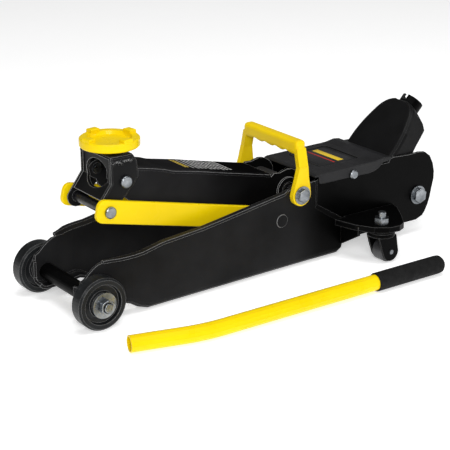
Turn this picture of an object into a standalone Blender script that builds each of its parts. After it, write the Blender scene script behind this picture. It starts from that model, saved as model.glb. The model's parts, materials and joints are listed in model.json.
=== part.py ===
"""Hydraulic trolley jack with its loose pump bar, at rest with the saddle partly raised."""

from math import atan2, cos, degrees, pi, radians, sin

import bmesh
import bpy
from mathutils import Matrix, Vector

MM = 0.001

# Shift, in mm, from the front axle's centre on the floor to the middle of everything.
ORIGIN_X = -226.002
ORIGIN_Y = 28.951

# Pivots, in mm: x from the front axle to the rear, z up from the floor.
AXLE = (0.0, 27.5)
MAIN = (262.2, 85.2)
LINK_REAR = (239.6, 58.7)
HEAD = (52.6, 135.4)
LINK_FRONT = (30.0, 108.9)
YOKE = (442.6, 47.3)
CASTER_X = 349.0
CASTER_Y = 86.5
LEAN = radians(43.5)
SLEEVE_BASE = (403.0, 101.5)

SHEET = 3.0
WEB_Y = 43.2
ARM_Y = 27.1
BRACKET_Y = 30.3

PAINTS = {
    "black_paint": ((0.012, 0.012, 0.013), 0.28, 0.0),
    "yellow_paint": ((0.85, 0.60, 0.02), 0.30, 0.0),
    "zinc": ((0.62, 0.62, 0.60), 0.32, 1.0),
    "bright_steel": ((0.70, 0.70, 0.70), 0.22, 1.0),
    "cast_iron": ((0.10, 0.10, 0.10), 0.60, 0.6),
    "wheel_steel": ((0.05, 0.05, 0.05), 0.35, 0.3),
    "yellow_plastic": ((0.90, 0.62, 0.03), 0.40, 0.0),
    "cover_plastic": ((0.05, 0.05, 0.055), 0.45, 0.0),
    "grey_plastic": ((0.18, 0.18, 0.18), 0.45, 0.0),
    "foam": ((0.012, 0.012, 0.012), 0.85, 0.0),
}


def clear_scene():
    for obj in list(bpy.data.objects):
        bpy.data.objects.remove(obj)


def make_collection(name, hidden):
    made = bpy.data.collections.new(name)
    made.hide_render = hidden
    bpy.context.scene.collection.children.link(made)
    return made


def make_materials():
    made = {}
    for name, (colour, roughness, metallic) in PAINTS.items():
        paint = bpy.data.materials.new(name)
        paint.use_nodes = True
        shader = paint.node_tree.nodes["Principled BSDF"]
        shader.inputs["Base Color"].default_value = (*colour, 1.0)
        shader.inputs["Roughness"].default_value = roughness
        shader.inputs["Metallic"].default_value = metallic
        paint.diffuse_color = (*colour, 1.0)
        made[name] = paint
    return made


clear_scene()
JACK = make_collection("trolley_jack", False)
CUTTERS = make_collection("cutters", True)
SLOTS = make_materials()
BODIES = {}


def add_body(name, at, parent=None):
    """An empty on a joint's axis, which carries the pieces that move together."""
    empty = bpy.data.objects.new(name, None)
    JACK.objects.link(empty)
    empty.empty_display_size = 0.02
    BODIES[name] = (empty, Vector(at))
    if parent:
        holder, base = BODIES[parent]
        empty.parent = holder
        empty.location = (Vector(at) - base) * MM
    else:
        empty.location = Vector((ORIGIN_X, ORIGIN_Y, 0.0)) * MM
    return empty


def mesh_of(bm, name):
    bmesh.ops.remove_doubles(bm, verts=bm.verts, dist=1e-7)
    mesh = bpy.data.meshes.new(name)
    bm.to_mesh(mesh)
    bm.free()
    return mesh


def add_node(name, mesh, slot, body, at=(0, 0, 0), turn=None, smooth=30):
    """Places a mesh, made in metres about its own origin, at a point given in mm."""
    obj = bpy.data.objects.new(name, mesh)
    JACK.objects.link(obj)
    holder, base = BODIES[body]
    obj.parent = holder
    obj.location = (Vector(at) - base) * MM
    if turn:
        obj.rotation_euler = turn
    if obj.type == "MESH" and smooth:
        mesh.shade_smooth()
        mesh.set_sharp_from_angle(angle=radians(smooth))
    mesh.materials.append(SLOTS[slot])
    return obj


def add_cutter(name, mesh, like, at=(0, 0, 0), turn=None):
    """A hidden solid in the same frame as the piece that it cuts."""
    obj = bpy.data.objects.new(name, mesh)
    CUTTERS.objects.link(obj)
    obj.hide_render = True
    obj.display_type = "WIRE"
    obj.parent = like.parent
    base = BODIES[like.parent.name][1]
    obj.location = (Vector(at) - base) * MM
    if turn:
        obj.rotation_euler = turn
    return obj


def combine(piece, other, operation="DIFFERENCE"):
    modifier = piece.modifiers.new(operation.lower(), "BOOLEAN")
    modifier.operation = operation
    modifier.solver = "EXACT"
    modifier.object = other


def bevel(piece, width, segments=2, angle=40):
    modifier = piece.modifiers.new("bevel", "BEVEL")
    modifier.width = width * MM
    modifier.segments = segments
    modifier.limit_method = "ANGLE"
    modifier.angle_limit = radians(angle)


def box_mesh(low, high, name="box"):
    bm = bmesh.new()
    bmesh.ops.create_cube(bm, size=1.0)
    size = Vector(high) - Vector(low)
    middle = (Vector(high) + Vector(low)) / 2
    for vert in bm.verts:
        vert.co = Vector(a * b for a, b in zip(vert.co, size)) + middle
        vert.co *= MM
    return mesh_of(bm, name)


def rod_mesh(radius, low, high, segments=24, radius2=None, spin=0.0):
    """A rod along its own z from low to high."""
    bm = bmesh.new()
    bmesh.ops.create_cone(
        bm,
        cap_ends=True,
        segments=segments,
        radius1=radius * MM,
        radius2=(radius if radius2 is None else radius2) * MM,
        depth=(high - low) * MM,
        matrix=Matrix.Translation((0, 0, (high + low) / 2 * MM)) @ Matrix.Rotation(spin, 4, "Z"),
    )
    return mesh_of(bm, "rod")


ALONG_Y = (-pi / 2, 0, 0)
ALONG_X = (0, pi / 2, 0)


def cross_rod(name, slot, body, spot, radius, low, high, segments=24, spin=0.0):
    """A rod across the jack, from y = low to y = high, through the (x, z) spot."""
    mesh = rod_mesh(radius, low, high, segments, spin=spin)
    return add_node(name, mesh, slot, body, (spot[0], 0, spot[1]), ALONG_Y)


def cross_hole(piece, spot, radius, segments=24, low=-120, high=120):
    cutter = add_cutter(
        piece.name + "_bore", rod_mesh(radius, low, high, segments), piece,
        (spot[0], 0, spot[1]), ALONG_Y,
    )
    combine(piece, cutter)


def turned(name, slot, body, at, profile, turn=None, steps=32):
    """A Screw of an outline of (radius, height), run down its outer side so that it faces out."""
    loop = list(profile) + [profile[0]]
    area = sum(a[0] * b[1] - b[0] * a[1] for a, b in zip(loop[:-1], loop[1:]))
    if area > 0:
        profile = profile[::-1]
    bm = bmesh.new()
    verts = [bm.verts.new((r * MM, 0, z * MM)) for r, z in profile]
    for first, second in zip(verts[:-1], verts[1:]):
        bm.edges.new((first, second))
    mesh = bpy.data.meshes.new(name)
    bm.to_mesh(mesh)
    bm.free()
    obj = add_node(name, mesh, slot, body, at, turn, smooth=None)
    screw = obj.modifiers.new("screw", "SCREW")
    screw.steps = steps
    screw.render_steps = steps
    screw.use_merge_vertices = True
    screw.merge_threshold = 0.00001
    screw.use_smooth_shade = False
    return obj


def prism_mesh(outline, low, high, plane="xz"):
    """A flat outline given thickness: in x and z from y = low to high, or in x and y."""
    bm = bmesh.new()
    if plane == "xz":
        verts = [bm.verts.new((x * MM, low * MM, z * MM)) for x, z in outline]
        shift = (0, (high - low) * MM, 0)
    else:
        verts = [bm.verts.new((x * MM, y * MM, low * MM)) for x, y in outline]
        shift = (0, 0, (high - low) * MM)
    face = bm.faces.new(verts)
    made = bmesh.ops.extrude_face_region(bm, geom=[face])
    moved = [item for item in made["geom"] if isinstance(item, bmesh.types.BMVert)]
    bmesh.ops.translate(bm, verts=moved, vec=shift)
    bmesh.ops.recalc_face_normals(bm, faces=bm.faces)
    return mesh_of(bm, "prism")


def sheet_node(name, slot, body, grid, skip=(), thickness=SHEET):
    """A folded sheet: columns of points on its middle surface, thickened both ways."""
    bm = bmesh.new()
    columns = [[bm.verts.new(Vector(p) * MM) for p in column] for column in grid]
    for i in range(len(columns) - 1):
        for j in range(len(columns[0]) - 1):
            if (i, j) in skip:
                continue
            left, right = columns[i], columns[i + 1]
            bm.faces.new((left[j], left[j + 1], right[j + 1], right[j]))
    loose = [vert for vert in bm.verts if not vert.link_faces]
    bmesh.ops.delete(bm, geom=loose, context="VERTS")
    mesh = bpy.data.meshes.new(name)
    bm.to_mesh(mesh)
    bm.free()
    base = BODIES[body][1]
    obj = add_node(name, mesh, slot, body, (0, 0, 0), smooth=35)
    obj.location = -base * MM
    solid = obj.modifiers.new("solidify", "SOLIDIFY")
    solid.thickness = thickness * MM
    solid.offset = 0.0
    solid.use_even_offset = True
    return obj


def arc(centre, radius, start, end, count):
    points = []
    for i in range(count + 1):
        angle = radians(start + (end - start) * i / count)
        points.append((centre[0] + radius * cos(angle), centre[1] + radius * sin(angle)))
    return points


def between(value, table):
    """Reads a value off a table of (position, value) by straight lines."""
    for (x0, y0), (x1, y1) in zip(table[:-1], table[1:]):
        if value <= x1:
            return y0 + (y1 - y0) * max(0.0, (value - x0) / (x1 - x0))
    return table[-1][1]


def upright(points):
    """Points along and behind the sleeve's line, turned into (x, z)."""
    found = []
    for along, behind in points:
        x = SLEEVE_BASE[0] + along * sin(LEAN) + behind * cos(LEAN)
        z = SLEEVE_BASE[1] + along * cos(LEAN) - behind * sin(LEAN)
        found.append((x, z))
    return found


# Bodies: each empty stands on the axis of its joint.
add_body("frame", (0, 0, 0))
add_body("arm_body", (MAIN[0], 0, MAIN[1]), "frame")
add_body("bracket_body", (HEAD[0], 0, HEAD[1]), "arm_body")
add_body("saddle_body", (54, 0, 165.6), "bracket_body")
add_body("links_body", (LINK_REAR[0], 0, LINK_REAR[1]), "frame")
add_body("wheel_near_body", (AXLE[0], -60.8, AXLE[1]), "frame")
add_body("wheel_far_body", (AXLE[0], 60.8, AXLE[1]), "frame")
add_body("yoke_body", (YOKE[0], 0, YOKE[1]), "frame")
SLEEVE_AT = upright([(0, 17.2)])[0]
add_body("sleeve_body", (SLEEVE_AT[0], 0, SLEEVE_AT[1]), "yoke_body")
add_body("valve_body", (SLEEVE_AT[0], 0, SLEEVE_AT[1]), "frame")
add_body("plunger_body", (YOKE[0], 0, 27.3), "frame")
add_body("ram_body", (272.1, 0, 54), "frame")
add_body("carry_body", (MAIN[0], 0, MAIN[1]), "frame")
for side, y in (("near", -CASTER_Y), ("far", CASTER_Y)):
    add_body("fork_" + side + "_body", (CASTER_X, y, 41), "frame")
    add_body("roller_" + side + "_body", (CASTER_X + 6, y, 12.5), "fork_" + side + "_body")
add_body("bar_body", (180, -150, 9), "frame")

PLATE_Y = [(-20, 48.0), (8, 48.0), (14, 48.5), (20, 49.7), (28, 51.6), (36, 53.3), (44, 54.0), (52, 54.0),
           (255, 46.9), (287, 45.9)]
TOP_Z = [
    (-13.7, 43.0), (-12.3, 48.3), (-7.7, 50.9), (-2.5, 56.1), (5, 61.8), (12.4, 65.2), (20, 66),
    (28, 67), (53.5, 68.8), (78, 73.8), (129, 77.6), (246, 93.1), (262, 96), (287, 96), (396.4, 96.4),
    (399, 100.9), (404, 101.2), (428, 100), (442.5, 100.5), (452, 99), (460, 93), (465, 83.6),
    (467.7, 73.4),
]
LOW_Z = [
    (-13.7, 17), (-12.3, 14.5), (-7.7, 12.5), (-2.5, 12.5), (36, 13.2), (44, 10.8), (53.5, 5.0), (64, 1.4),
    (326, 1.4), (330, 15),
    (416, 15.4), (440, 14.6), (447, 15.8), (452, 18.6), (456, 23.2), (460, 31), (463, 40), (465, 50),
    (467.7, 61),
]
LIP = [(12.4, 4.0), (20, 5.5), (28, 8.0), (238, 8.0), (246, 4.0)]
BEND = [(12.4, 1.2), (20, 2.5), (238, 2.5), (246, 1.2)]
FRONT_X = (-13.7, -12.3, -7.7, -2.5, 3, 8, 12.4, 16, 20, 24, 28, 32, 36, 40, 44, 48, 53.5, 64, 78, 100,
           129, 190, 238, 246, 262, 275)
REAR_X = (345, 365, 384, 396.4, 399, 404, 428, 442.5, 452, 456, 460, 463, 465, 466.6, 467.7)


def plate_column(x, side, step=0):
    """One column of a side plate, from its top lip down to its bottom lip."""
    half = SHEET / 2
    top = between(x, TOP_Z) - half
    low = between(x, LOW_Z) + half
    lip = between(x, LIP)
    bend = between(x, BEND) if 12 < x < 247 else 0.0
    radius = 6.0
    rear = x > 287 or step == 2
    wall = low if rear else low + radius
    xs = (x, x, x, x)
    if step:
        xs = (287, 287, 326, 326) if step == 1 else (291, 291, 330, 330)
        wall = 9.0 if step == 1 else 16.5
        low = 3.0
    column = []
    heights = (top - bend, wall + 0.632 * (top - wall), wall + 0.325 * (top - wall), wall)
    ys = [WEB_Y - half if rear else between(at, PLATE_Y) - half for at in xs]
    column.append((xs[0], ys[0] + lip, top))
    column.append((xs[0], ys[0] + max(bend, 1.2), top))
    for at, y, z in zip(xs, ys, heights):
        column.append((at, y, z))
    end = min(x, 322) if not step else 322
    for turn in (30, 60, 90):
        angle = radians(turn)
        drop = radius * sin(angle)
        column.append((end, ys[3] - radius * (1 - cos(angle)), wall - drop))
    column.append((end, ys[3] - radius - 8, low))
    return [(at, side * y, z) for at, y, z in column]


def side_plate(name, side):
    grid = [plate_column(x, side) for x in FRONT_X]
    nose = [(p[0] - 2.2, side * (abs(p[1]) - 6.5), p[2]) for p in grid[0]]
    grid.insert(0, nose)
    step_at = len(grid)
    grid.append(plate_column(287, side, 1))
    grid.append(plate_column(291, side, 2))
    grid += [plate_column(x, side) for x in REAR_X]
    skip = set()
    for i in range(len(grid) - 1):
        low_x, high_x = grid[i][0][0], grid[i + 1][0][0]
        if high_x < 12.5 or low_x > 245:
            skip |= {(i, 0), (i, 1)}
        if i >= step_at or i == 0:
            skip |= {(i, j) for j in range(5, 9)}
    plate = sheet_node(name, "black_paint", "frame", grid, skip)
    cross_hole(plate, AXLE, 5.4)
    cross_hole(plate, MAIN, 8.4)
    low = -48.3 if side < 0 else 46.0
    spot = (LINK_REAR[0], 0, LINK_REAR[1])
    boss = add_cutter(name + "_boss", rod_mesh(7.2, low, low + 2.3, 28), plate, spot, ALONG_Y)
    combine(plate, boss, "UNION")
    cross_hole(plate, YOKE, 7.4)
    return plate


def frame_pieces():
    for side, sign in (("near", -1), ("far", 1)):
        side_plate("side_plate_" + side, sign)
        spin = radians(8)
        for name, spot, radius, low, high, segments, slot in (
            ("wheel_washer_", AXLE, 13.5, 69.8, 71.6, 32, "zinc"),
            ("wheel_nut_", AXLE, 8.0, 71.9, 78.5, 6, "zinc"),
            ("main_pivot_bolt_", MAIN, 7.8, 54.0, 59.0, 6, "zinc"),
            ("rear_pivot_nut_", YOKE, 9.2, 44.0, 50.0, 6, "zinc"),
        ):
            ends = sorted((sign * low, sign * high))
            piece = cross_rod(name + side, slot, "frame", spot, radius, *ends, segments, spin)
            if name in ("wheel_washer_", "wheel_nut_"):
                cross_hole(piece, spot, 5.3)
            if segments == 6:
                bevel(piece, 0.8, 2, 50)
            if name == "rear_pivot_nut_":
                low, high = sorted((sign * 43.5, sign * 45.2))
                disc = add_cutter(name + side + "_flange", rod_mesh(11.0, low, high, 32), piece,
                                  (spot[0], 0, spot[1]), ALONG_Y)
                combine(piece, disc, "UNION")
            if name == "main_pivot_bolt_":
                low, high = sorted((sign * 53.7, sign * 55.0))
                disc = add_cutter(name + side + "_flange", rod_mesh(10.2, low, high, 32), piece,
                                  (spot[0], 0, spot[1]), ALONG_Y)
                combine(piece, disc, "UNION")
        inner = sorted((sign * 31.2, sign * 44.0))
        pin = cross_rod("link_pin_" + side, "zinc", "frame", LINK_REAR, 6.1, *inner)
        bevel(pin, 0.6)
    tube = cross_rod("front_axle_tube", "black_paint", "frame", AXLE, 8.7, -44.6, 44.6)
    cross_hole(tube, AXLE, 5.3)
    axle = cross_rod("front_axle", "zinc", "frame", AXLE, 5.0, -80.5, 80.5)
    bevel(axle, 0.8)
    shaft = [(0, 53.6), (5.0, 53.6), (5.0, 46.7), (8.0, 46.7), (8.0, -46.7), (5.0, -46.7)]
    shaft += [(5.0, -53.6), (0, -53.6)]
    turned("main_pivot_shaft", "bright_steel", "frame", (MAIN[0], 0, MAIN[1]), shaft, ALONG_Y, 24)
    rod = cross_rod("rear_pivot_rod", "zinc", "frame", YOKE, 7.0, -43.3, 43.3)
    bevel(rod, 0.5)


def power_unit():
    corner = [(352, 22), (392, 22), (392, 54), (370.9, 74), (370.9, 84), (352, 84)]
    block = add_node(
        "power_unit_block", prism_mesh(corner, -33, 33), "cast_iron", "frame", smooth=None
    )
    bevel(block, 2.0, 2)
    turned(
        "reservoir_tube", "black_paint", "frame", (0, 0, 54),
        [(9.4, 308), (24, 308), (24, 351.7), (9.4, 351.7), (9.4, 308)], ALONG_X, 28,
    )
    turned(
        "pump_cylinder", "cast_iron", "frame", (0, 0, 27.3),
        [(5.3, 392.3), (9, 392.3), (9, 421.5), (5.3, 421.5), (5.3, 392.3)], ALONG_X, 24,
    )
    add_node(
        "filler_plug", rod_mesh(5.5, 84.3, 90.5, 6), "zinc", "frame", (361, 0, 0), smooth=30
    )
    screw = rod_mesh(4.0, 84.3, 88.0, 16)
    add_node("relief_valve_screw", screw, "zinc", "frame", (361, -20, 0))
    lean = (0, LEAN, 0)
    valve = rod_mesh(5.5, -41.6, -24.0, 6)
    add_node("release_valve", valve, "bright_steel", "valve_body", (SLEEVE_AT[0], 0, SLEEVE_AT[1]), lean)
    plunger = rod_mesh(5.0, 415.5, 436.2, 20)
    add_node("pump_plunger", plunger, "bright_steel", "plunger_body", (0, 0, 27.3), ALONG_X)
    add_node("ram", rod_mesh(9.0, 298.3, 343.0, 24), "bright_steel", "ram_body", (0, 0, 54), ALONG_X)
    head = add_node(
        "crosshead", box_mesh((260, -15.6, 41), (298, 15.6, 68)), "cast_iron", "ram_body", smooth=None
    )
    inner = add_cutter("crosshead_gap", box_mesh((250, -8.6, 30), (292, 8.6, 80)), head)
    combine(head, inner)
    slot = add_cutter("crosshead_slot", box_mesh((265.5, -30, 45.4), (278.7, 30, 63.6)), head)
    combine(head, slot)
    bevel(head, 1.0, 1)


ARM_TOP = [(60, 148.0), (72, 145.2), (88, 142.0), (104, 137.8), (113, 134.6), (151, 126.8), (184, 118.9),
           (240, 106.4), (250, 104.7), (262.2, 107.7)]
ARM_DEPTH = [(HEAD[0], 16.0), (54.2, 18.0), (60, 21.5), (66, 24.0), (88, 25.5), (MAIN[0], 21.0)]


def lift_arm():
    """A channel, open below, with a rounded end about each pivot."""
    half = 1.5
    columns = []
    front = [HEAD[0] - 10.8 * cos(radians(a)) for a in (0, 20, 40, 60, 80)]
    rear = [MAIN[0] + 20.0 * sin(radians(a)) for a in (20, 40, 55, 70, 90)]
    stations = front + [54.2, 60, 66, 88, 104, 113, 148, 184, 215, 240, 244, 252, MAIN[0]] + rear
    slope = (HEAD[1] - MAIN[1]) / (HEAD[0] - MAIN[0])
    for x in stations:
        centre = MAIN[1] + slope * (x - MAIN[0])
        if x < HEAD[0]:
            reach = (max(0.0, 10.8**2 - (x - HEAD[0]) ** 2)) ** 0.5
            top, low = HEAD[1] + max(reach, 2.5), HEAD[1] - max(reach, 2.5)
        elif x > MAIN[0]:
            reach = (max(0.0, 21.0**2 - (x - MAIN[0]) ** 2)) ** 0.5
            top, low = MAIN[1] + max(reach, 3.0) + 4.0, MAIN[1] - max(reach, 3.0)
        else:
            top = between(x, ARM_TOP) - half + (4.0 if x > 243 else 0.0)
            low = centre - between(x, ARM_DEPTH)
        y = ARM_Y - half
        column = [(x, -y, low), (x, -y, top - 1.8), (x, -y + 0.5, top - 0.5), (x, -y + 1.8, top)]
        column += [(x, y - 1.8, top), (x, y - 0.5, top - 0.5), (x, y, top - 1.8), (x, y, low)]
        columns.append(column)
    skip = set()
    for i in range(len(columns) - 1):
        if columns[i + 1][0][0] < 60.5 or columns[i][0][0] > 239:
            skip |= {(i, j) for j in range(1, 6)}
    arm = sheet_node("lift_arm", "black_paint", "arm_body", columns, skip)
    for name, low in (("arm_boss_near", -ARM_Y - 2.4), ("arm_boss_far", ARM_Y - 1.0)):
        boss = add_cutter(name, rod_mesh(14, low, low + 3.4, 32), arm, (MAIN[0], 0, MAIN[1]), ALONG_Y)
        combine(arm, boss, "UNION")
    cross_hole(arm, MAIN, 8.4)
    cross_hole(arm, HEAD, 5.4)
    bar = add_cutter("arm_tie", box_mesh((64, -26, 122), (68, 26, 145)), arm)
    combine(arm, bar, "UNION")
    return arm


def lift_lug():
    foot = (MAIN[0] + 33 * sin(radians(17.5)), MAIN[1] - 33 * cos(radians(17.5)))
    outline = arc(foot, 9.0, -180 - 17.5 + 180 - 180, -17.5, 8)
    outline += [(MAIN[0] + 9, MAIN[1] + 2), (MAIN[0] - 9, MAIN[1] + 2)]
    lug = add_node("lift_lug", prism_mesh(outline, -8, 8), "cast_iron", "arm_body", smooth=30)
    collar = add_cutter("lug_collar", rod_mesh(13, -23.7, 23.7, 28), lug, (MAIN[0], 0, MAIN[1]), ALONG_Y)
    combine(lug, collar, "UNION")
    pin = add_cutter("lug_pin", rod_mesh(6, -15, 15, 20), lug, (foot[0], 0, foot[1]), ALONG_Y)
    combine(lug, pin, "UNION")
    cross_hole(lug, MAIN, 8.4)


def saddle_bracket():
    lobe = arc(LINK_FRONT, 11.5, 165, 330, 12)
    outline = [(36, 163), (36, 135), (24.5, 119.7)] + lobe
    outline += [(51.5, 117.5), (64, 130), (70, 138), (68, 154.5), (63, 163)]
    bracket = add_node(
        "saddle_bracket", prism_mesh(outline, -BRACKET_Y, BRACKET_Y), "black_paint", "bracket_body",
        smooth=30,
    )
    bevel(bracket, 2.5, 2, 50)
    inner = BRACKET_Y - 2.8
    hollow = [(41.3, 160), (41.3, 133.2), (30.2, 118.4), (0, 118.4), (0, 60), (120, 60), (120, 160)]
    combine(bracket, add_cutter("bracket_inside", prism_mesh(hollow, -inner, inner), bracket))
    front = [(10, 160), (10, 118.2), (26.5, 118.2), (38.5, 134.2), (38.5, 160)]
    combine(bracket, add_cutter("bracket_front", prism_mesh(front, -inner, inner), bracket))
    oval = rod_mesh(14.5, 20, 50, 32)
    for vert in oval.vertices:
        vert.co.y *= 21.0 / 14.5
    window = add_cutter("bracket_window", oval, bracket, (0, 0, 140.0), ALONG_X)
    combine(bracket, window)
    cross_hole(bracket, HEAD, 5.4)
    cross_hole(bracket, LINK_FRONT, 5.8)
    for side, sign in (("near", -1), ("far", 1)):
        turned(
            "bracket_bolt_" + side, "zinc", "bracket_body", (HEAD[0], 0, HEAD[1]),
            [(0, sign * 21.5), (5.0, sign * 21.5), (5.0, sign * 30.6), (6.4, sign * 30.6),
             (6.4, sign * 33.6), (5.4, sign * 34.6), (0, sign * 34.6)],
            ALONG_Y, 24,
        )
    ends = [(0, 40), (5.0, 40), (6.2, 39.2), (6.2, 37.0), (5.5, 37.0)]
    shaft = ends + [(r, -h) for r, h in reversed(ends)]
    turned(
        "link_cross_shaft", "zinc", "bracket_body", (LINK_FRONT[0], 0, LINK_FRONT[1]),
        shaft, ALONG_Y, 24,
    )


def saddle():
    profile = [
        (0, 171), (21.5, 171), (23.0, 174.6), (30.0, 174.6), (31.1, 173.6), (31.1, 166.8),
        (30.0, 165.6), (9.2, 165.6), (9.2, 163.3), (0, 163.3),
    ]
    base = turned("saddle", "yellow_paint", "saddle_body", (54, 0, 0), profile, steps=48)
    for i in range(4):
        angle = i * pi / 2 + radians(7.5)
        bm = bmesh.new()
        bm.from_mesh(box_mesh((22.2, -5.6, 171.5), (30.6, 5.6, 178)))
        rim = [edge for edge in bm.edges if min(v.co.z for v in edge.verts) > 0.175]
        bmesh.ops.bevel(bm, geom=rim, offset=1.2 * MM, segments=2, affect="EDGES", profile=0.5)
        lug = add_cutter("saddle_lug_%d" % i, mesh_of(bm, "lug"), base, (54, 0, 0), (0, 0, angle))
        combine(base, lug, "UNION")
    return base


def links():
    run = (LINK_REAR[0] - LINK_FRONT[0], LINK_REAR[1] - LINK_FRONT[1])
    length = (run[0] ** 2 + run[1] ** 2) ** 0.5
    tilt = atan2(run[1], run[0])
    outline = arc((-6.5, 4), 8, 90, 180, 4) + arc((-6.5, -4), 8, 180, 270, 4)
    outline += arc((length, 0), 12, -90, 90, 10)
    points = []
    for along, up in outline:
        x = LINK_FRONT[0] + along * cos(tilt) - up * sin(tilt)
        points.append((x, LINK_FRONT[1] + along * sin(tilt) + up * cos(tilt)))
    for side, sign in (("near", -1), ("far", 1)):
        ends = sorted((sign * 31.5, sign * 36.6))
        piece = add_node(
            "link_" + side, prism_mesh(points, *ends), "yellow_paint", "links_body", smooth=30
        )
        bevel(piece, 0.6, 1, 50)
        cross_hole(piece, LINK_FRONT, 6.0)
        cross_hole(piece, LINK_REAR, 6.5)


def wheels():
    for side, sign in (("near", -1), ("far", 1)):
        half = 8.6
        face = [(5.4, half - 1.6), (12.5, half - 1.6), (14.0, half - 4.0), (19.5, half - 4.0)]
        face += [(21.0, half), (25.5, half), (27.5, half - 2.0)]
        back = [(r, -h) for r, h in reversed(face)]
        turned(
            "wheel_" + side, "wheel_steel", "wheel_" + side + "_body",
            (AXLE[0], sign * 60.8, AXLE[1]), face + back + face[:1], ALONG_Y, 48,
        )


def yoke():
    rows = [(-16, 38.1, 20), (0, 38.1, 30), (13, 38.1, 28), (22, 37.1, 27), (31, 35.5, 27)]
    rows += [(42, 32.3, 29), (52, 28.9, 31), (57, 26.2, 26), (61, 23.0, 16), (64, 19.5, 9)]
    rows += [(66.2, 15.2, 7.0), (67.6, 10.5, 6.4)]
    columns = []
    for along, wide, deep in rows:
        side = [(deep, wide), (6.2, wide), (3.4, wide - 0.7), (2.0, wide - 2.4), (1.5, wide - 5.0)]
        points = [(b, -y) for b, y in side] + [(1.5, 0.0)] + [(b, y) for b, y in reversed(side)]
        column = []
        for behind, y in points:
            x, z = upright([(along, behind)])[0]
            column.append((x, y, z))
        columns.append(column)
    piece = sheet_node("handle_yoke", "black_paint", "yoke_body", columns)
    centre = upright([(-12, 66)])[0]
    cheek = [(1.0, 3.0), (-1.0, 44.0)]
    toe = arc((YOKE[0], YOKE[1] - 20), 8.0, 0, -180, 8)
    cheek = upright(cheek) + arc(centre, 15.0, 40, -20, 5) + toe + upright([(-16, 40), (-14.5, 4.0)])
    for name, low in (("yoke_cheek_near", -39.6), ("yoke_cheek_far", 36.6)):
        part = add_cutter(name, prism_mesh(cheek, low, low + 3.0), piece)
        combine(piece, part, "UNION")
    cross_hole(piece, YOKE, 7.4)
    cross_hole(piece, (YOKE[0], YOKE[1] - 20), 4.2)
    ends = [(0, 39), (3.8, 39), (3.8, 36.2), (6, 36.2)]
    profile = ends + [(r, -h) for r, h in reversed(ends)]
    turned(
        "pump_roller", "bright_steel", "yoke_body", (YOKE[0], 0, YOKE[1] - 20), profile, ALONG_Y, 24
    )
    tube = [(13.3, 79), (13.3, -21.5), (11.2, -21.5), (11.2, 79), (13.3, 79)]
    sleeve = turned(
        "handle_sleeve", "black_paint", "sleeve_body", (SLEEVE_AT[0], 0, SLEEVE_AT[1]), tube,
        (0, LEAN, 0), 32,
    )
    notch = add_cutter(
        "sleeve_notch", box_mesh((-30, -2.6, 72.5), (0, 2.6, 90)), sleeve,
        (SLEEVE_AT[0], 0, SLEEVE_AT[1]), (0, LEAN, 0),
    )
    combine(sleeve, notch)


def cover():
    outline = [(292, 97.9), (292, 92.2), (293.4, 90.0), (297, 89.1), (365, 88.6), (373, 89.8), (379.5, 92.6)]
    outline += [(384, 96.4), (385.4, 97.6), (397, 98.6), (397, 102.5)]
    outline += [(388, 103.6), (376, 101.6), (290, 100.6), (286, 99.6), (286, 97.9)]
    piece = add_node("rear_cover", prism_mesh(outline, -46, 46), "cover_plastic", "frame", smooth=30)
    bevel(piece, 1.2, 2, 40)
    inside = [(250, 60), (440, 60), (440, 98.2), (385, 97.8), (250, 97.4)]
    combine(piece, add_cutter("cover_inside", prism_mesh(inside, -43.6, 43.6), piece))
    recess = arc((361, 29), 6, 0, 90, 5) + arc((316, 29), 6, 90, 180, 5)
    recess += arc((316, -21), 6, 180, 270, 5) + arc((361, -21), 6, 270, 360, 5)
    label = add_cutter("cover_label", prism_mesh(recess, 99.6, 110, "xy"), piece)
    combine(piece, label)
    cross_hole(piece, (341, 92), 2.6)
    for side, sign in (("near", -1), ("far", 1)):
        profile = [(0, 49.0), (4.2, 49.0), (5.4, 47.6), (5.4, 46.3), (2.3, 46.3), (2.3, 43.6), (0, 43.6)]
        profile = [(r, sign * h) for r, h in profile]
        turned("cover_screw_" + side, "zinc", "frame", (341, 0, 92), profile, ALONG_Y, 20)


def carry_handle():
    """A bail of two flat legs and a bar, with finger hollows under the bar."""
    bar = add_node(
        "carry_handle", box_mesh((257.8, -48.6, 128.5), (271, 48.6, 144.8)), "yellow_plastic",
        "carry_body", smooth=30,
    )
    bevel(bar, 4.5, 3, 60)
    for name, sign in (("leg_near", -1), ("leg_far", 1)):
        ring = arc(MAIN, 12.2, 180, 360, 14)
        outline = ring + [(273.6, 92), (271.4, 104), (270.4, 116.5)]
        outline += [(258.2, 116.5), (255.2, 104), (251.6, 92)]
        mesh = prism_mesh(outline, *sorted((sign * 47.4, sign * 53.4)))
        leg = add_cutter(name, mesh, bar)
        combine(bar, leg, "UNION")
        upper = box_mesh((258.2, -53.4, 115), (270.4, -47.4, 136))
        for vert in upper.vertices:
            vert.co.y += max(0.0, vert.co.z - 115 * MM) * 0.24
            vert.co.y *= -sign
        if sign > 0:
            upper.flip_normals()
        top = add_cutter(name + "_top", upper, bar)
        combine(bar, top, "UNION")
    for i in range(4):
        spot = add_cutter(
            "finger_%d" % i, rod_mesh(12.5, 250, 280, 24), bar, (0, -28 + 18.7 * i, 119.2), ALONG_X
        )
        combine(bar, spot)
    cross_hole(bar, MAIN, 5.4)


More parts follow.
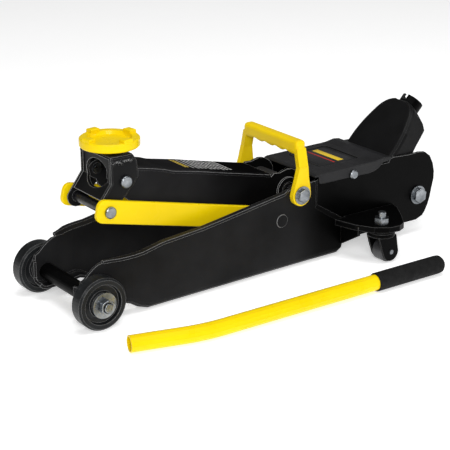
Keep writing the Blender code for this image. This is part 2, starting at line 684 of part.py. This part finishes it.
def casters():
    for side, sign in (("near", -1), ("far", 1)):
        edge = [(330.6, 43.6), (330.6, 46.4), (316, 46.4), (317.5, 52.5), (322.7, 72.3), (334, 92.4)]
        edge += [(347.6, 102), (361, 103.6)]
        edge += [(371, 99), (385, 80), (400, 56), (404, 43.6)]
        outline = [(x, sign * y) for x, y in edge]
        shelf = add_node(
            "caster_bracket_" + side, prism_mesh(outline, 37.6, 44, "xy"), "black_paint", "frame",
            smooth=30,
        )
        hollow = [(333.5, 40), (333.5, 49.4), (319.4, 49.4), (320.4, 52), (325.5, 71), (336.2, 90)]
        hollow += [(348.8, 99), (360.5, 100.5)]
        hollow += [(369, 96.6), (382, 78), (396, 56), (401, 40)]
        inside = prism_mesh([(x, sign * y) for x, y in hollow], 10, 41, "xy")
        combine(shelf, add_cutter("shelf_inside_" + side, inside, shelf))
        bore = add_cutter(
            "shelf_bore_" + side, rod_mesh(4.9, 20, 60, 20), shelf, (CASTER_X, sign * CASTER_Y, 0)
        )
        combine(shelf, bore)
        gusset = [(46.4, 14), (48, 14), (76, 31), (76, 41.5), (46.4, 41.5)]
        bm = bmesh.new()
        verts = [bm.verts.new((324.5 * MM, sign * y * MM, z * MM)) for y, z in gusset]
        made = bmesh.ops.extrude_face_region(bm, geom=[bm.faces.new(verts)])
        moved = [item for item in made["geom"] if isinstance(item, bmesh.types.BMVert)]
        bmesh.ops.translate(bm, verts=moved, vec=(3 * MM, 0, 0))
        bmesh.ops.recalc_face_normals(bm, faces=bm.faces)
        combine(shelf, add_cutter("gusset_" + side, mesh_of(bm, "gusset"), shelf), "UNION")
        nut = rod_mesh(8.6, 44.3, 51.5, 6, spin=0.3)
        nut_node = add_node("caster_nut_" + side, nut, "zinc", "frame", (CASTER_X, sign * CASTER_Y, 0))
        combine(
            nut_node,
            add_cutter("nut_bore_" + side, rod_mesh(4.9, 20, 60, 20), nut_node, (CASTER_X, sign * CASTER_Y, 0)),
        )
        stud = rod_mesh(4.5, 31.5, 58, 20)
        bevel(add_node("caster_stud_" + side, stud, "zinc", "frame", (CASTER_X, sign * CASTER_Y, 0)), 0.6)
        body = "fork_" + side + "_body"
        cup = [(4.9, 37.3), (13.5, 37.3), (15.5, 35.8), (15.5, 32.0), (14.5, 30.6), (4.9, 30.6), (4.9, 37.3)]
        fork = turned("caster_fork_" + side, "black_paint", body, (CASTER_X, sign * CASTER_Y, 0), cup, steps=28)
        cheek = [(13, 32)] + [(-12, 32), (-9, 22)] + arc((6, 12.5), 10.8, 200, 355, 8)
        for low in (-10.8, 8.5):
            mesh = prism_mesh(cheek, low, low + 2.3)
            part = add_cutter("cheek_%s_%d" % (side, low), mesh, fork, (CASTER_X, sign * CASTER_Y, 0))
            combine(fork, part, "UNION")
        cross_hole(fork, (CASTER_X + 6, 12.5), 2.9, 16)
        axle_at = (CASTER_X + 6, sign * CASTER_Y, 12.5)
        axle = rod_mesh(2.6, -12, 12, 16)
        add_node("caster_axle_" + side, axle, "zinc", body, axle_at, ALONG_Y)
        tread = [(2.9, 8.0), (10.5, 8.0), (12.5, 6.4), (12.5, -6.4), (10.5, -8.0), (2.9, -8.0), (2.9, 8.0)]
        turned(
            "caster_wheel_" + side, "grey_plastic", "roller_" + side + "_body", axle_at, tread,
            ALONG_Y, 32,
        )


def curve_tube(name, slot, points, radius, hole):
    """A bent tube along the floor, or a solid one where hole is 0."""
    curve = bpy.data.curves.new(name, "CURVE")
    curve.dimensions = "3D"
    curve.bevel_depth = radius * MM
    curve.bevel_resolution = 4
    curve.use_fill_caps = True
    spline = curve.splines.new("POLY")
    spline.points.add(len(points) - 1)
    for point, (x, y, z) in zip(spline.points, points):
        point.co = (x * MM, y * MM, z * MM, 1)
    carrier = bpy.data.objects.new(name + "_path", curve)
    JACK.objects.link(carrier)
    mesh = bpy.data.meshes.new_from_object(
        carrier.evaluated_get(bpy.context.evaluated_depsgraph_get())
    )
    bpy.data.objects.remove(carrier)
    bm = bmesh.new()
    bm.from_mesh(mesh)
    bmesh.ops.remove_doubles(bm, verts=bm.verts, dist=1e-6)
    bmesh.ops.recalc_face_normals(bm, faces=bm.faces)
    return mesh_of(bm, name)


def pump_bar():
    z = 8.65
    start = Vector((-7, -126.5, z))
    bend = Vector((68, -146.5, z))
    end = Vector((377, -151.5, z + 2.1))
    before = (bend - start).normalized()
    after = (end - bend).normalized()
    points = [start]
    for i in range(7):
        share = i / 6
        a = bend - before * 22 * (1 - share)
        b = bend + after * 22 * share
        points.append(a.lerp(b, share))
    points.append(end - after * 92)
    tip = end - after * 3
    full = points + [end - after * 60, tip]
    mesh = curve_tube("pump_bar", "yellow_paint", full, 8.6, 0)
    bar = add_node("pump_bar", mesh, "yellow_paint", "bar_body", (0, 0, 0))
    bar.location = -BODIES["bar_body"][1] * MM
    bore_points = [start - before * 5, start + before * 40]
    bore = curve_tube("bar_bore", "zinc", bore_points, 7.2, 0)
    cutter = add_cutter("pump_bar_bore", bore, bar)
    cutter.location = -BODIES["bar_body"][1] * MM
    combine(bar, cutter)
    length = 92.0
    grip_turn = (after.to_track_quat("Z", "Y")).to_euler()
    profile = [
        (0, 2.0), (7.0, 1.6), (9.6, -1.5), (10.1, -6), (10.1, -length + 1), (9.6, -length),
        (8.9, -length), (8.9, -2.7), (0, -2.7),
    ]
    grip = turned("bar_grip", "foam", "bar_body", tuple(end), profile, None, 32)
    grip.rotation_euler = grip_turn
    return grip


frame_pieces()
power_unit()
lift_arm()
lift_lug()
saddle_bracket()
saddle()
links()
wheels()
yoke()
cover()
carry_handle()
casters()
pump_bar()
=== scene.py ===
"""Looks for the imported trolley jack: materials, small details, lights and camera."""

import json
import random
from math import radians

import bmesh
import bpy
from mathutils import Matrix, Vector


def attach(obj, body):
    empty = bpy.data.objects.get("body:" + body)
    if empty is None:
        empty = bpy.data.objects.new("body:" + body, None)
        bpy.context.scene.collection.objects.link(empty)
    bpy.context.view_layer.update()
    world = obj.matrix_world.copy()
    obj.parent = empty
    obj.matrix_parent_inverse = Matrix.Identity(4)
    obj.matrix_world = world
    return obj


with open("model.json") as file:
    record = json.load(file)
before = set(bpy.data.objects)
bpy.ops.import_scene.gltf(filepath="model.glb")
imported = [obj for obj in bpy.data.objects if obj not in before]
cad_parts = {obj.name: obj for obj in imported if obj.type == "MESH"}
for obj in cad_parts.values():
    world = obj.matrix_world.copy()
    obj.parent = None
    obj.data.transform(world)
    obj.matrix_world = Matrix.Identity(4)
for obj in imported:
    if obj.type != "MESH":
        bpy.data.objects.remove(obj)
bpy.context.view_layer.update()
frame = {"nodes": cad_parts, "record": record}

SCENE = bpy.context.scene
MM = 0.001

# Places below are in mm from the front axle's middle, at floor height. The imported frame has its
# origin elsewhere, at this offset.
SHIFT_X = -226.002
SHIFT_Y = 28.951

# What every coat shares.
COAT_ROUGH = 0.08
TINT_STOPS = (0.35, 0.68)
GLOSS_BAND = (0.3, 0.7)
LEAST_ROUGH = 0.03
BUMP_DEPTH = 0.0004
BEVEL_SAMPLES = 6
SCRATCH_SCALE = 140.0
SCRATCH_DETAIL = 8.0
SCRATCH_TWIST = 1.5
SCRATCH_TOP = 0.80
# Where the painted edge highlight comes in:
EDGE_HIGHLIGHT_BAND = (0.985, 0.90)  # cosines between the eased and the true surface

SHAFT_PAINT = (0.006, 0.006, 0.007)
SHAFT_HALF = 31.0  # mm from the middle to where the shaft's bare heads start

SMOOTH_ANGLE = radians(35)

ARM_TOP = ((113, 134.6), (151, 126.8), (184, 118.9), (240, 106.4))  # x and height of its folds
PRINT_LOW = 0.02
PRINT_HIGH = 0.12
DASH_LENGTHS = (2.4, 3.6, 1.8, 4.4, 2.8)
DASH_GAP = 1.6
DASH_WIDTH = 2.2
DASH_END = 20.0
ROWS = 9
FIRST_ROW = 153.5
ROW_STEP = 5.4

WELD_SEED = 7
WELD_BEADS = 15
WELD_START = 38.5
WELD_STEP = 1.65
WELD_TOP = 157.0
WELD_DROP = 3.5
CHEEK_FACE = 30.25

FLOOR_HALF = 6.0
FLOOR_DROP = 0.0002
FLOOR_GLOW = 0.45
SKY_STRENGTH = 0.16
LAMP_AIM = (0.0, 0.0, 0.05)
# Name, place and size in metres, and power in watts.
LAMPS = (
    ("key", (-1.4, -2.1, 1.3), (1.3, 1.0), 46.0),
    ("top", (-0.1, -0.3, 2.2), (1.5, 1.2), 26.0),
    ("side", (1.9, -1.4, 1.1), (0.7, 1.0), 7.0),
)

CAMERA_PLACE = (-679.9, -1212.1, 593.1)
CAMERA_AIM = (198.0, 0.0, 49.0)
LENS = 116.6
SENSOR = 36.0


def world_point(x, y, z):
    """A point given in mm from the front axle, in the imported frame's metres."""
    return Vector(((x + SHIFT_X) * MM, (y + SHIFT_Y) * MM, z * MM))


def noise(nodes, wires, place, scale, detail, twist=0.0):
    """A noise texture's value at a place."""
    made = nodes.new("ShaderNodeTexNoise")
    made.inputs["Scale"].default_value = scale
    made.inputs["Detail"].default_value = detail
    made.inputs["Distortion"].default_value = twist
    wires.new(place, made.inputs["Vector"])
    return made.outputs["Fac"]


def ranged(nodes, wires, value, start, end, kind="LINEAR"):
    """A value carried from one range to another, and held inside it."""
    made = nodes.new("ShaderNodeMapRange")
    made.interpolation_type = kind
    made.inputs["From Min"].default_value, made.inputs["From Max"].default_value = start
    made.inputs["To Min"].default_value, made.inputs["To Max"].default_value = end
    wires.new(value, made.inputs["Value"])
    return made.outputs["Result"]


def mixed(nodes, wires, factor, first, second):
    """One colour turning into another. Each is a socket or a plain (r, g, b)."""
    blend = nodes.new("ShaderNodeMix")
    blend.data_type = "RGBA"
    wires.new(factor, blend.inputs["Factor"])
    for socket, colour in (("A", first), ("B", second)):
        if isinstance(colour, tuple):
            blend.inputs[socket].default_value = (*colour, 1.0)
        else:
            wires.new(colour, blend.inputs[socket])
    return blend.outputs["Result"]


def shaded_rearward(nodes, wires, place, paint, first, last, keep):
    """Painted shade along X: darkens a coat towards the rear, where less light falls; all of it
    stays at first, and this share of it at last.
    """
    parts = nodes.new("ShaderNodeSeparateXYZ")
    wires.new(place, parts.inputs["Vector"])
    start = ((first + SHIFT_X) * MM, (last + SHIFT_X) * MM)
    share = ranged(nodes, wires, parts.outputs["X"], start, (1.0, keep), "SMOOTHSTEP")
    dim = nodes.new("ShaderNodeVectorMath")
    dim.operation = "SCALE"
    wires.new(paint, dim.inputs[0])
    wires.new(share, dim.inputs["Scale"])
    return dim.outputs["Vector"]


def edge_highlighted(nodes, wires, eased, paint, edge_highlight):
    """Lightens the paint where the surface turns sharply: a painted highlight along the edges of
    pressed sheet, which also stands for their rubbed paint.
    """
    shape = nodes.new("ShaderNodeNewGeometry")
    level = nodes.new("ShaderNodeVectorMath")
    level.operation = "DOT_PRODUCT"
    wires.new(eased, level.inputs[0])
    wires.new(shape.outputs["Normal"], level.inputs[1])
    sharp = ranged(nodes, wires, level.outputs["Value"], EDGE_HIGHLIGHT_BAND, (0.0, 1.0))
    return mixed(nodes, wires, sharp, paint, (edge_highlight, edge_highlight, edge_highlight))


def finish_of(
    name,
    colour,
    second,
    rough,
    metal=0.0,
    specular=0.5,
    coat=0.0,
    grain=900.0,
    bump=0.04,
    patch=18.0,
    streak=(1.0, 1.0, 1.0),
    wear=0.0,
    wear_colour=(0.45, 0.45, 0.45),
    spread=0.08,
    edge=0.0,
    edge_highlight=None,
    rear_shade=None,
):
    """A coat whose colour, roughness and surface vary, with fine grain and small scratches."""
    made = bpy.data.materials.new(name)
    made.use_nodes = True
    nodes, wires = made.node_tree.nodes, made.node_tree.links
    shader = nodes["Principled BSDF"]
    shader.inputs["Metallic"].default_value = metal
    shader.inputs["Specular IOR Level"].default_value = specular
    shader.inputs["Coat Weight"].default_value = coat
    shader.inputs["Coat Roughness"].default_value = COAT_ROUGH
    place = nodes.new("ShaderNodeTexCoord").outputs["Object"]
    stretch = nodes.new("ShaderNodeMapping")
    stretch.inputs["Scale"].default_value = streak
    wires.new(place, stretch.inputs["Vector"])
    stretched = stretch.outputs["Vector"]

    tint = nodes.new("ShaderNodeValToRGB")
    for stop, at, shade in zip(tint.color_ramp.elements, TINT_STOPS, (colour, second)):
        stop.position = at
        stop.color = (*shade, 1.0)
    wires.new(noise(nodes, wires, stretched, patch, 5.0), tint.inputs["Fac"])

    smudge = noise(nodes, wires, place, patch * 3.0, 6.0)
    limits = (max(LEAST_ROUGH, rough - spread), min(1.0, rough + spread))
    gloss = ranged(nodes, wires, smudge, GLOSS_BAND, limits)
    wires.new(gloss, shader.inputs["Roughness"])

    lift = nodes.new("ShaderNodeBump")
    lift.inputs["Strength"].default_value = bump
    lift.inputs["Distance"].default_value = BUMP_DEPTH
    wires.new(noise(nodes, wires, stretched, grain, 3.0), lift.inputs["Height"])
    if edge:
        eased = nodes.new("ShaderNodeBevel")
        eased.samples = BEVEL_SAMPLES
        eased.inputs["Radius"].default_value = edge * MM
        wires.new(eased.outputs["Normal"], lift.inputs["Normal"])
    wires.new(lift.outputs["Normal"], shader.inputs["Normal"])

    paint = tint.outputs["Color"]
    # Painted shade: the coat darkens towards the rear.
    if rear_shade:
        paint = shaded_rearward(nodes, wires, place, paint, *rear_shade)
    if wear:
        scratch = noise(nodes, wires, place, SCRATCH_SCALE, SCRATCH_DETAIL, SCRATCH_TWIST)
        cut = ranged(nodes, wires, scratch, (0.72 - 0.1 * wear, SCRATCH_TOP), (0.0, wear))
        paint = mixed(nodes, wires, cut, paint, wear_colour)
    # Painted highlight on sharp edges, partly rubbed paint.
    if edge_highlight:
        paint = edge_highlighted(nodes, wires, eased.outputs["Normal"], paint, edge_highlight)
    wires.new(paint, shader.inputs["Base Color"])
    return made


def black_coat(name, low, high, specular, edge_highlight, rear_shade=None):
    """Black enamel on pressed steel, between two grey levels, a touch blue."""
    return finish_of(
        name,
        (low, low, low * 1.05),
        (high, high, high * 1.05),
        0.36,
        specular=specular,
        grain=520.0,
        bump=0.16,
        patch=22.0,
        wear=0.2,
        wear_colour=(0.05, 0.05, 0.05),
        edge=0.9,
        edge_highlight=edge_highlight,
        rear_shade=rear_shade,
    )


def print_coat(name, colour, second, rough):
    """Flat printing ink, almost without grain."""
    return finish_of(name, colour, second, rough, grain=900.0, bump=0.03)


COATS = {
    # Darkest copy of the black enamel, painted shade for the parts that sit in shadow.
    "black_paint": black_coat("black_coat", 0.001, 0.002, specular=0.04, edge_highlight=0.10),
    "zinc": finish_of(
        "zinc_plate",
        (0.16, 0.172, 0.185),
        (0.34, 0.36, 0.38),
        0.32,
        metal=1.0,
        grain=1500.0,
        bump=0.14,
        patch=90.0,
        wear=0.4,
        wear_colour=(0.20, 0.20, 0.21),
        spread=0.12,
        edge=0.5,
    ),
    "bright_steel": finish_of(
        "ground_steel",
        (0.48, 0.48, 0.48),
        (0.62, 0.62, 0.62),
        0.22,
        metal=1.0,
        grain=1200.0,
        bump=0.06,
        patch=50.0,
        streak=(1.0, 6.0, 1.0),
    ),
    "cast_iron": finish_of(
        "cast_iron_coat",
        (0.025, 0.025, 0.026),
        (0.05, 0.05, 0.05),
        0.6,
        metal=0.4,
        grain=700.0,
        bump=0.5,
        patch=40.0,
        wear=0.3,
        wear_colour=(0.12, 0.10, 0.08),
    ),
    "yellow_paint": finish_of(
        "yellow_coat",
        (0.84, 0.60, 0.002),
        (0.90, 0.65, 0.003),
        0.30,
        specular=0.10,
        coat=0.03,
        grain=600.0,
        bump=0.08,
        patch=20.0,
        wear=0.15,
        wear_colour=(0.50, 0.33, 0.01),
        edge=0.8,
    ),
    "wheel_steel": finish_of(
        "wheel_coat",
        (0.006, 0.0066, 0.0072),
        (0.014, 0.0153, 0.0166),
        0.36,
        specular=0.18,
        metal=0.05,
        grain=520.0,
        bump=0.20,
        patch=90.0,
        wear=0.45,
        wear_colour=(0.16, 0.16, 0.16),
        spread=0.1,
        edge=0.9,
        edge_highlight=0.20,
    ),
    "grey_plastic": finish_of(
        "nylon",
        (0.03, 0.03, 0.032),
        (0.06, 0.06, 0.064),
        0.42,
        grain=900.0,
        bump=0.2,
        patch=60.0,
    ),
    "yellow_plastic": finish_of(
        "yellow_nylon",
        (0.84, 0.58, 0.005),
        (0.90, 0.65, 0.008),
        0.38,
        specular=0.12,
        grain=1100.0,
        bump=0.12,
        patch=30.0,
        wear=0.1,
        wear_colour=(0.65, 0.43, 0.02),
        edge=0.8,
    ),
    "cover_plastic": finish_of(
        "cover_grain",
        (0.010, 0.010, 0.011),
        (0.016, 0.016, 0.0175),
        0.42,
        specular=0.22,
        grain=1400.0,
        bump=0.5,
        patch=30.0,
        spread=0.06,
        edge=0.8,
        edge_highlight=0.05,
    ),
    "foam": finish_of(
        "foam_grain",
        (0.004, 0.004, 0.004),
        (0.008, 0.008, 0.008),
        0.80,
        specular=0.2,
        grain=800.0,
        bump=0.9,
        patch=80.0,
        spread=0.1,
    ),
}

# Lit and shaded copies of the one black enamel: each part's grey level is set to paint how much
# light falls on it, the plates and arm lightest, the bracket and yoke darker.
PLATE_COAT = black_coat(
    "plate_coat", 0.009, 0.015, specular=0.05, edge_highlight=0.26, rear_shade=(250, 300, 0.04)
)
ARM_COAT = black_coat("arm_coat", 0.012, 0.018, specular=0.0, edge_highlight=0.38, rear_shade=(120, 215, 0.22))
BRACKET_COAT = black_coat("bracket_coat", 0.005, 0.009, specular=0.08, edge_highlight=0.40)
YOKE_COAT = black_coat("yoke_coat", 0.004, 0.007, specular=0.10, edge_highlight=0.07)

DECAL_DARK = print_coat("label_dark", (0.010, 0.010, 0.011), (0.016, 0.016, 0.018), 0.32)
DECAL_GOLD = print_coat("label_gold", (0.80, 0.55, 0.02), (0.90, 0.66, 0.05), 0.30)
DECAL_RED = print_coat("label_red", (0.50, 0.02, 0.02), (0.60, 0.03, 0.03), 0.32)
DECAL_WHITE = print_coat("label_white", (0.70, 0.70, 0.68), (0.80, 0.80, 0.78), 0.35)
DECAL_GREY = print_coat("label_grey", (0.60, 0.60, 0.60), (0.78, 0.78, 0.78), 0.40)


def shaft_coat():
    """Black paint along the shaft and bare zinc on its two heads, told apart by where they are."""
    made = COATS["zinc"].copy()
    made.name = "shaft_coat"
    nodes, wires = made.node_tree.nodes, made.node_tree.links
    shader = nodes["Principled BSDF"]
    parts = nodes.new("ShaderNodeSeparateXYZ")
    wires.new(nodes.new("ShaderNodeTexCoord").outputs["Object"], parts.inputs["Vector"])
    value = parts.outputs["Y"]
    for operation, amount in (
        ("SUBTRACT", SHIFT_Y * MM),
        ("ABSOLUTE", 0.0),
        ("GREATER_THAN", SHAFT_HALF * MM),
    ):
        sum_of = nodes.new("ShaderNodeMath")
        sum_of.operation = operation
        sum_of.inputs[1].default_value = amount
        wires.new(value, sum_of.inputs[0])
        value = sum_of.outputs["Value"]
    zinc = shader.inputs["Base Color"].links[0].from_socket
    wires.new(mixed(nodes, wires, value, SHAFT_PAINT, zinc), shader.inputs["Base Color"])
    wires.new(value, shader.inputs["Metallic"])
    return made


def dress_frame():
    """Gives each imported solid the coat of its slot, or its own where it has one."""
    own = {
        # Lit and shaded copies of the black enamel, one per part.
        "side_plate_near": PLATE_COAT,
        "side_plate_far": PLATE_COAT,
        "lift_arm": ARM_COAT,
        "saddle_bracket": BRACKET_COAT,
        "handle_yoke": YOKE_COAT,
        "link_cross_shaft": shaft_coat(),
    }
    for part in frame["record"]["subparts"]:
        mesh = frame["nodes"][part["node"]].data
        mesh.materials.clear()
        mesh.materials.append(own.get(part["node"], COATS[part["material_slot"]]))


def mesh_of(bm, name):
    """The mesh of a bmesh, which is then freed."""
    mesh = bpy.data.meshes.new(name)
    bm.to_mesh(mesh)
    bm.free()
    return mesh


def add_piece(name, mesh, coat, body):
    """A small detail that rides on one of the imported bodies."""
    obj = bpy.data.objects.new(name, mesh)
    SCENE.collection.objects.link(obj)
    mesh.shade_smooth()
    mesh.set_sharp_from_angle(angle=SMOOTH_ANGLE)
    mesh.materials.append(coat)
    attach(obj, body)


def block_mesh(low, high, edge):
    """A box in mm between two corners, its edges eased."""
    bm = bmesh.new()
    bmesh.ops.create_cube(bm, size=1.0)
    size = Vector(high) - Vector(low)
    middle = (Vector(high) + Vector(low)) / 2
    for vert in bm.verts:
        vert.co = Vector(a * b for a, b in zip(vert.co, size)) + middle
    bmesh.ops.bevel(
        bm, geom=list(bm.edges), offset=edge, segments=2, affect="EDGES", profile=0.5
    )
    for vert in bm.verts:
        vert.co = world_point(*vert.co)
    return mesh_of(bm, "block")


def cover_label():
    """A raised panel in the cover's recess: a black label with a gold strip and a thin red rule."""
    for name, low, high, edge, coat in (
        ("label_rim", (312, -24.8, 99.64), (365, 32.8, 100.7), 0.5, COATS["cover_plastic"]),
        ("label_plate", (316, -21.5, 100.5), (361, 29.5, 100.85), 0.12, DECAL_DARK),
        ("label_strip", (342, -18, 100.7), (350, 28, 101.0), 0.1, DECAL_GOLD),
        ("label_line", (334.3, -20, 100.7), (336, 27.5, 101.0), 0.1, DECAL_RED),
    ):
        add_piece(name, block_mesh(low, high, edge), coat, "frame")


def arm_top(x):
    """Height of the arm's flat top at x, in mm."""
    for (x0, z0), (x1, z1) in zip(ARM_TOP, ARM_TOP[1:]):
        if x <= x1:
            return z0 + (z1 - z0) * (x - x0) / (x1 - x0)
    return ARM_TOP[-1][1]


def arm_print(name, coat, cells):
    """Flat marks just clear of the arm's top, each given by x, y from, y to and width in mm."""
    bm = bmesh.new()
    for x, first, last, width in cells:
        corners = []
        for along, across in ((-0.5, first), (0.5, first), (0.5, last), (-0.5, last)):
            at = x + along * width
            corners.append((at, across, arm_top(at)))
        low = [bm.verts.new(world_point(px, py, pz + PRINT_LOW)) for px, py, pz in corners]
        high = [bm.verts.new(world_point(px, py, pz + PRINT_HIGH)) for px, py, pz in corners]
        bm.faces.new(low[::-1])
        bm.faces.new(high)
        for i in range(4):
            j = (i + 1) % 4
            bm.faces.new((low[i], low[j], high[j], high[i]))
    add_piece(name, mesh_of(bm, name), coat, "lift_arm_body")


def arm_label():
    """Two gold rules and a white one, then rows of short plain dashes in place of print."""
    arm_print("arm_rule_gold", DECAL_GOLD, [(139.5, -11, 21, 1.3), (142.6, -11, 18, 1.6)])
    arm_print("arm_rule_white", DECAL_WHITE, [(147.5, -14, 21, 1.0)])
    cells = []
    for row in range(ROWS):
        x = FIRST_ROW + ROW_STEP * row
        place = -15.0 + (row % 3)
        count = 0
        while place < DASH_END:
            length = DASH_LENGTHS[(2 * row + count) % len(DASH_LENGTHS)]
            cells.append((x, place, place + length, DASH_WIDTH))
            place += length + DASH_GAP
            count += 1
    arm_print("arm_dashes", DECAL_GREY, cells)


def bracket_weld():
    """Lumpy beads where the saddle's seat is welded to the bracket's cheeks."""
    chance = random.Random(WELD_SEED)
    for name, side in (("weld_near", -1), ("weld_far", 1)):
        bm = bmesh.new()
        for step in range(WELD_BEADS):
            across = side * (CHEEK_FACE + 0.2 * chance.random())
            height = WELD_TOP - WELD_DROP * chance.random() * (step % 2)
            centre = world_point(WELD_START + WELD_STEP * step, across, height)
            size = 1.0 + 0.7 * chance.random()
            made = bmesh.ops.create_icosphere(bm, subdivisions=2, radius=size * MM)
            for vert in made["verts"]:
                vert.co = Vector((vert.co.x * 1.2, vert.co.y * 0.5, vert.co.z)) + centre
        add_piece(name, mesh_of(bm, name), BRACKET_COAT, "bracket_body")


def aimed(name, data, place, aim):
    """An object linked at a place and turned to look at a point."""
    obj = bpy.data.objects.new(name, data)
    obj.location = place
    obj.rotation_euler = (Vector(aim) - Vector(place)).to_track_quat("-Z", "Y").to_euler()
    SCENE.collection.objects.link(obj)
    return obj


def floor_and_light():
    bm = bmesh.new()
    bmesh.ops.create_grid(bm, x_segments=1, y_segments=1, size=FLOOR_HALF)
    mesh = mesh_of(bm, "floor")
    floor = bpy.data.objects.new("floor", mesh)
    floor.location.z = -FLOOR_DROP
    SCENE.collection.objects.link(floor)
    white = finish_of(
        "floor_white", (0.92, 0.92, 0.92), (0.93, 0.93, 0.93), 0.85, specular=0.1, bump=0.0
    )
    glow = white.node_tree.nodes["Principled BSDF"]
    glow.inputs["Emission Color"].default_value = (1.0, 1.0, 1.0, 1.0)
    glow.inputs["Emission Strength"].default_value = FLOOR_GLOW
    mesh.materials.append(white)
    world = bpy.data.worlds.new("studio")
    SCENE.world = world
    world.use_nodes = True
    back = world.node_tree.nodes["Background"]
    back.inputs["Color"].default_value = (1.0, 1.0, 1.0, 1.0)
    back.inputs["Strength"].default_value = SKY_STRENGTH
    for name, place, size, power in LAMPS:
        lamp = bpy.data.lights.new(name, "AREA")
        lamp.shape = "RECTANGLE"
        lamp.size, lamp.size_y = size
        lamp.energy = power
        aimed(name, lamp, place, LAMP_AIM)


def camera():
    cam = bpy.data.cameras.new("camera")
    cam.lens = LENS
    cam.sensor_width = SENSOR
    SCENE.camera = aimed("camera", cam, world_point(*CAMERA_PLACE), world_point(*CAMERA_AIM))
    SCENE.view_settings.view_transform = "Standard"


dress_frame()
cover_label()
arm_label()
bracket_weld()
floor_and_light()
camera()
